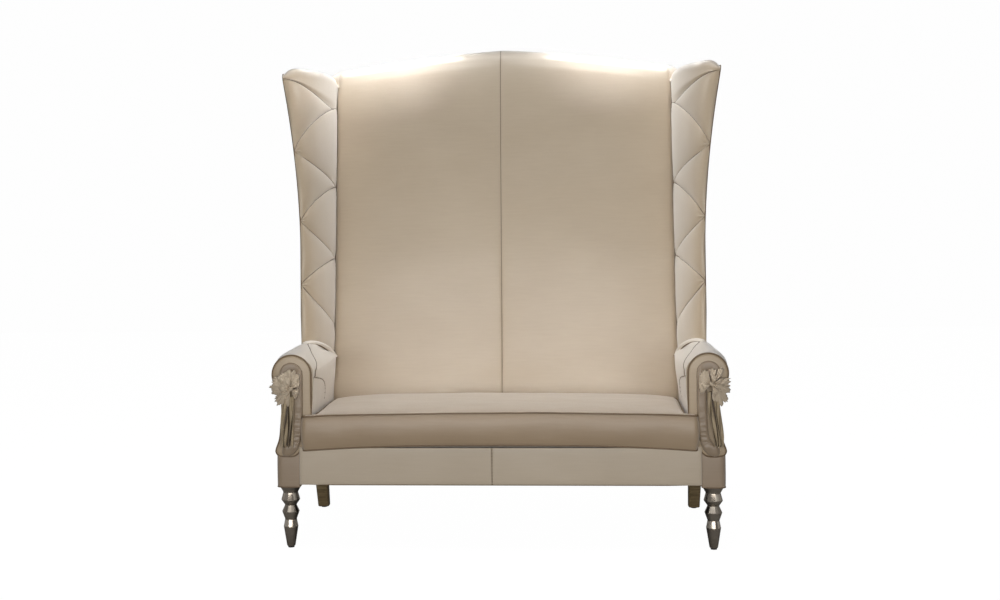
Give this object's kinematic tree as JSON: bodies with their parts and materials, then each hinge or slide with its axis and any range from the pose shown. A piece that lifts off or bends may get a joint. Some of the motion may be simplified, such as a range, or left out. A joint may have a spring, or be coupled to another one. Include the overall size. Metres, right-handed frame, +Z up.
{
  "type": "high back settee",
  "caption": "High back settee with a camel back, quilted wings, scroll arms with rosettes, a loose seat cushion and turned metal front legs.",
  "frame": {"origin": "on the floor, under the middle of the settee's box", "axes": "+X to the right as seen from the front, -Y the way the seat faces, +Z up"},
  "size_m": [1.6074, 0.9353, 1.8024],
  "materials": {
    "cover": "satin ivory cover with a fine grain",
    "cushion_cover": "satin champagne cover",
    "trim": "soft satin ribbon",
    "frame_wood": "sawn hardwood",
    "webbing": "woven band",
    "under_cloth": "black non-woven cloth",
    "leg_metal": "dark polished pewter",
    "rear_leg_wood": "stained and lacquered",
    "glide": "hard nylon",
    "bolt_steel": "zinc plated"
  },
  "bodies": {
    "settee_frame": {"left_front_leg": "leg_metal", "left_front_leg_bolt": "bolt_steel", "left_rear_leg": "rear_leg_wood", "left_front_glide": "glide", "left_rear_glide": "glide", "right_front_leg": "leg_metal", "right_front_leg_bolt": "bolt_steel", "right_rear_leg": "rear_leg_wood", "right_front_glide": "glide", "right_rear_glide": "glide", "front_seat_rail": "frame_wood", "rear_seat_rail": "frame_wood", "centre_stretcher": "frame_wood", "left_seat_rail": "frame_wood", "left_front_leg_block": "frame_wood", "left_rear_leg_block": "frame_wood", "right_seat_rail": "frame_wood", "right_front_leg_block": "frame_wood", "right_rear_leg_block": "frame_wood", "lower_back_rail": "frame_wood", "back_centre_post": "frame_wood", "camel_top_rail": "frame_wood", "left_back_post": "frame_wood", "right_back_post": "frame_wood", "left_arm_stump": "frame_wood", "left_arm_rail": "frame_wood", "right_arm_stump": "frame_wood", "right_arm_rail": "frame_wood", "seat_webbing": "webbing", "back_webbing": "webbing", "seat_deck": "cover", "back_pad": "cover", "outside_back": "cover", "front_rail_cover": "cover", "dust_cover": "under_cloth", "left_wing_board": "frame_wood", "left_outside_wing": "cover", "left_wing_pad": "cover", "left_arm_pad": "cover", "left_arm_rear_end": "cover", "left_outside_arm": "cover", "left_side_rail_cover": "cover", "left_arm_facing": "cover", "left_arm_strip": "cover", "left_rosette": "trim", "left_ribbon_tails": "trim", "left_corner_cover": "cover", "right_wing_board": "frame_wood", "right_outside_wing": "cover", "right_wing_pad": "cover", "right_arm_pad": "cover", "right_arm_rear_end": "cover", "right_outside_arm": "cover", "right_side_rail_cover": "cover", "right_arm_facing": "cover", "right_arm_strip": "cover", "right_rosette": "trim", "right_ribbon_tails": "trim", "right_corner_cover": "cover"},
    "loose_cushion": {"seat_cushion": "cushion_cover"}
  },
  "joints": [
    {"name": "cushion_lift", "type": "slide", "parent": "settee_frame", "child": "loose_cushion", "axis": [0, 0, 1], "range_m": [0, 0.25]}
  ]
}
